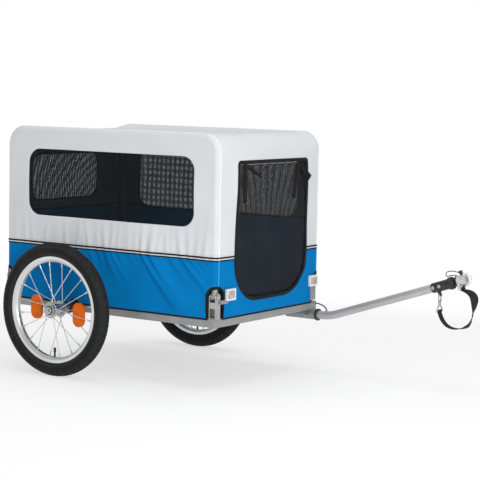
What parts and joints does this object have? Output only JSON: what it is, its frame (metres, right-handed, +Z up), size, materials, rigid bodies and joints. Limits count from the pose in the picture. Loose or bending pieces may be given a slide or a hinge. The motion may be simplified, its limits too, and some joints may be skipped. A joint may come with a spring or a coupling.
{
  "type": "bicycle trailer for a dog",
  "caption": "Two-wheeled dog trailer for a bicycle with a folding fabric cabin, mesh door and windows, spoked wheels and an offset drawbar with a pinned coupler.",
  "frame": {"origin": "on the ground, midway along the rigid pieces and in the middle between the wheels", "axes": "+X forward to the hitch, +Y to the left, +Z up"},
  "size_m": [1.3466, 0.798, 0.734],
  "materials": {
    "frame_silver": "satin",
    "plated_steel": "satin",
    "cover_light": "woven",
    "cover_blue": "woven",
    "black_mesh": "open mesh",
    "black_webbing": "woven",
    "black_plastic": "matte",
    "tyre_black": "matte",
    "tube_rubber": "matte",
    "amber": "gloss",
    "white_reflector": "gloss",
    "red_reflector": "gloss"
  },
  "bodies": {
    "chassis": {"axle_tube": "frame_silver", "drawbar": "frame_silver", "drawbar_receiver": "frame_silver", "floor_panel": "black_plastic", "frame_rivets": "plated_steel", "front_rail": "frame_silver", "front_reflectors": "white_reflector", "front_wall": "cover_light", "hinge_pins": "plated_steel", "hitch_bolts": "plated_steel", "hitch_socket": "black_plastic", "left_axle": "plated_steel", "left_axle_socket": "black_plastic", "left_brackets": "plated_steel", "left_rail": "frame_silver", "left_skirt": "cover_blue", "pin_tether": "black_webbing", "rear_rail": "frame_silver", "rear_reflectors": "red_reflector", "rear_wall": "cover_light", "rear_window": "black_mesh", "receiver_collar": "black_plastic", "right_axle": "plated_steel", "right_axle_socket": "black_plastic", "right_brackets": "plated_steel", "right_rail": "frame_silver", "right_skirt": "cover_blue", "roof": "cover_light", "safety_strap": "black_webbing", "snap_hook": "plated_steel"},
    "right_wheel": {"right_tyre": "tyre_black", "right_rim": "frame_silver", "right_inner_tube": "tube_rubber", "right_hub_shell": "frame_silver", "right_hub_bearings": "plated_steel", "right_spokes": "plated_steel", "right_wheel_reflectors": "amber"},
    "left_wheel": {"left_tyre": "tyre_black", "left_rim": "frame_silver", "left_inner_tube": "tube_rubber", "left_hub_shell": "frame_silver", "left_hub_bearings": "plated_steel", "left_spokes": "plated_steel", "left_wheel_reflectors": "amber"},
    "right_frame": {"right_hoop": "frame_silver", "right_side_panel": "cover_light", "right_side_window": "black_mesh"},
    "left_frame": {"left_hoop": "frame_silver", "left_side_panel": "cover_light", "left_side_window": "black_mesh"},
    "door": {"front_door": "black_mesh", "roll_up_straps": "black_webbing"},
    "right_button": {"right_release_button": "plated_steel"},
    "left_button": {"left_release_button": "plated_steel"},
    "lock": {"lock_pin": "plated_steel"},
    "coupler": {"coupler_head": "frame_silver", "pin_lanyard": "black_webbing"},
    "coupler_pin": {"hitch_pin": "plated_steel", "pin_wire": "plated_steel"},
    "gate": {"snap_gate": "plated_steel"}
  },
  "joints": [
    {"name": "right_wheel_spin", "type": "hinge", "parent": "chassis", "child": "right_wheel", "pos_m": [-0.38088, -0.3625, 0.199], "axis": [0, 1, 0], "continuous": true},
    {"name": "left_wheel_spin", "type": "hinge", "parent": "chassis", "child": "left_wheel", "pos_m": [-0.38088, 0.3625, 0.199], "axis": [0, 1, 0], "continuous": true},
    {"name": "right_hoop_fold", "type": "hinge", "parent": "chassis", "child": "right_frame", "pos_m": [-0.38088, -0.2635, 0.272], "axis": [-1, 0, 0], "range_deg": [0, 90], "deforming": ["left_side_panel", "right_side_panel", "left_side_window", "right_side_window", "roof", "front_wall", "rear_wall", "rear_window", "front_door", "roll_up_straps"]},
    {"name": "left_hoop_fold", "type": "hinge", "parent": "chassis", "child": "left_frame", "pos_m": [-0.38088, 0.2635, 0.25], "axis": [1, 0, 0], "range_deg": [0, 90]},
    {"name": "door_lift", "type": "hinge", "parent": "chassis", "child": "door", "pos_m": [0.13712, 0, 0.651], "axis": [0, 1, 0], "range_deg": [-105, 0]},
    {"name": "right_button_press", "type": "slide", "parent": "chassis", "child": "right_button", "axis": [0, 1, 0], "range_m": [0, 0.004], "stiffness_N_per_m": 400, "springref_m": -0.002},
    {"name": "left_button_press", "type": "slide", "parent": "chassis", "child": "left_button", "axis": [0, -1, 0], "range_m": [0, 0.004], "stiffness_N_per_m": 400, "springref_m": -0.002},
    {"name": "lock_pin_pull", "type": "slide", "parent": "chassis", "child": "lock", "axis": [0, 1, 0], "range_m": [0, 0.045], "deforming": ["pin_tether"]},
    {"name": "coupler_swivel", "type": "hinge", "parent": "chassis", "child": "coupler", "pos_m": [0.60569, 0.2605, 0.30671], "axis": [-0.3173, 0, 0.9483], "range_deg": [-35, 35], "deforming": ["safety_strap"]},
    {"name": "hitch_pin_pull", "type": "slide", "parent": "coupler", "child": "coupler_pin", "axis": [-0.3173, 0, 0.9483], "range_m": [0, 0.045], "deforming": ["pin_wire", "pin_lanyard"]},
    {"name": "snap_gate_open", "type": "hinge", "parent": "chassis", "child": "gate", "pos_m": [0.56905, 0.253, 0.25725], "axis": [-1, 0, 0], "range_deg": [0, 18], "stiffness_Nm_per_rad": 0.02, "springref_deg": -11.46}
  ],
  "couplings": [
    {"joint": "left_hoop_fold", "follows": "right_hoop_fold", "ratio": 1}
  ]
}
